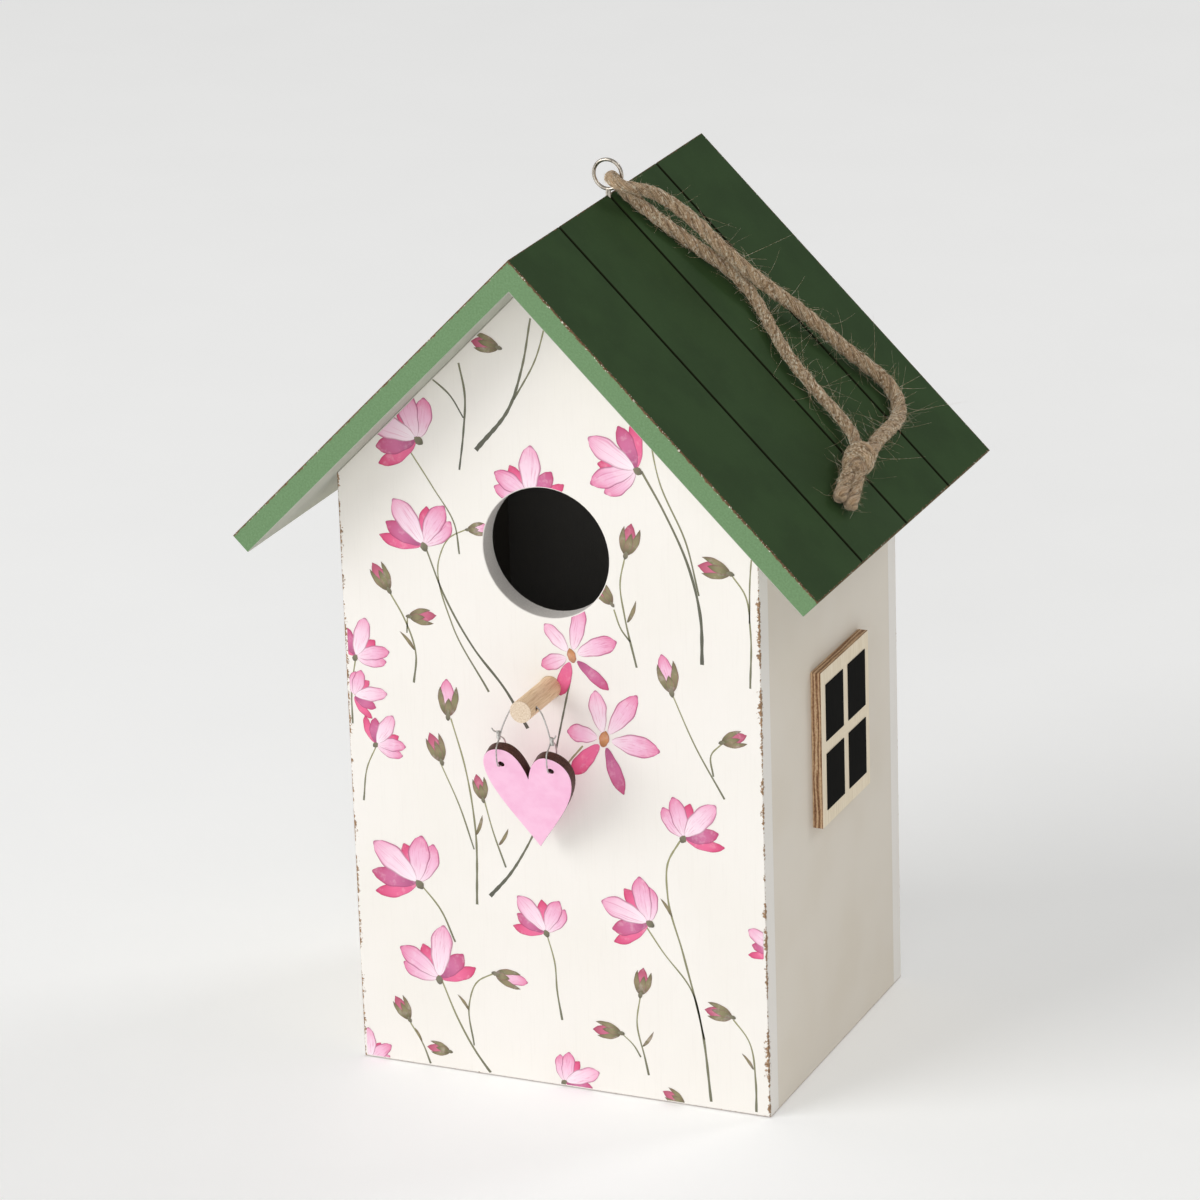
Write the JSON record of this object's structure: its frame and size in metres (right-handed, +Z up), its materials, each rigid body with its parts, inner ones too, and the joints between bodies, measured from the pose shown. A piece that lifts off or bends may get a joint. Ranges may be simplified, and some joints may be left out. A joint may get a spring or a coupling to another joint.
{
  "type": "decorative birdhouse",
  "caption": "Gabled wooden birdhouse with a mitred roof, round entry hole, perch with a hanging heart, window plate, cord loop and swivelling floor hatch.",
  "frame": {"origin": "on the ground straight under the screw eye, at the middle of the roof's length and width", "axes": "+Z up; -Y towards the front panel with the entry hole; +X to the right of someone who faces the front"},
  "size_m": [0.1662, 0.1331, 0.2475],
  "materials": {
    "white_paint": "matt off-white paint on fibreboard, brown where chipped",
    "green_paint": "matt green paint on fibreboard, worn to brown at the edges",
    "bare_board": "bare fibreboard",
    "bare_wood": "smooth bare beech dowel",
    "plywood": "bare birch plywood with a rough brown edge",
    "pink_paint": "matt pink paint on plywood with burnt brown edges",
    "black_paint": "flat black film",
    "nickel": "nickel-plated steel",
    "wire": "bright soft steel wire",
    "steel": "zinc-plated steel",
    "jute": "hairy natural jute twine"
  },
  "bodies": {
    "house": {"front_panel": "white_paint", "back_panel": "white_paint", "left_wall": "white_paint", "right_wall": "white_paint", "floor_panel": "bare_board", "roof_left": "green_paint", "roof_right": "green_paint", "perch": "bare_wood", "screw_eye": "nickel", "window_plate": "plywood", "window_panes": "black_paint", "hatch_screw": "steel", "wall_brads": "steel", "floor_brads": "steel", "roof_brads": "steel"},
    "cord": {"hanging_cord": "jute", "cord_knot": "jute"},
    "wire": {"heart_wire": "wire"},
    "heart": {"heart": "pink_paint"},
    "hatch": {"hatch": "bare_board"}
  },
  "joints": [
    {"name": "cord_swing", "type": "hinge", "parent": "house", "child": "cord", "pos_m": [0, 0, 0.24299], "axis": [0, -1, 0], "range_deg": [0, 260]},
    {"name": "wire_swing", "type": "hinge", "parent": "house", "child": "wire", "pos_m": [0, -0.0638, 0.1155], "axis": [1, 0, 0], "range_deg": [-175, 2]},
    {"name": "heart_tilt", "type": "hinge", "parent": "wire", "child": "heart", "pos_m": [0, -0.0638, 0.0997], "axis": [1, 0, 0], "range_deg": [-10, 2]},
    {"name": "hatch_swivel", "type": "hinge", "parent": "house", "child": "hatch", "pos_m": [-0.019, 0.002, 0.0063], "axis": [0, 0, 1], "range_deg": [-95, 95]}
  ]
}
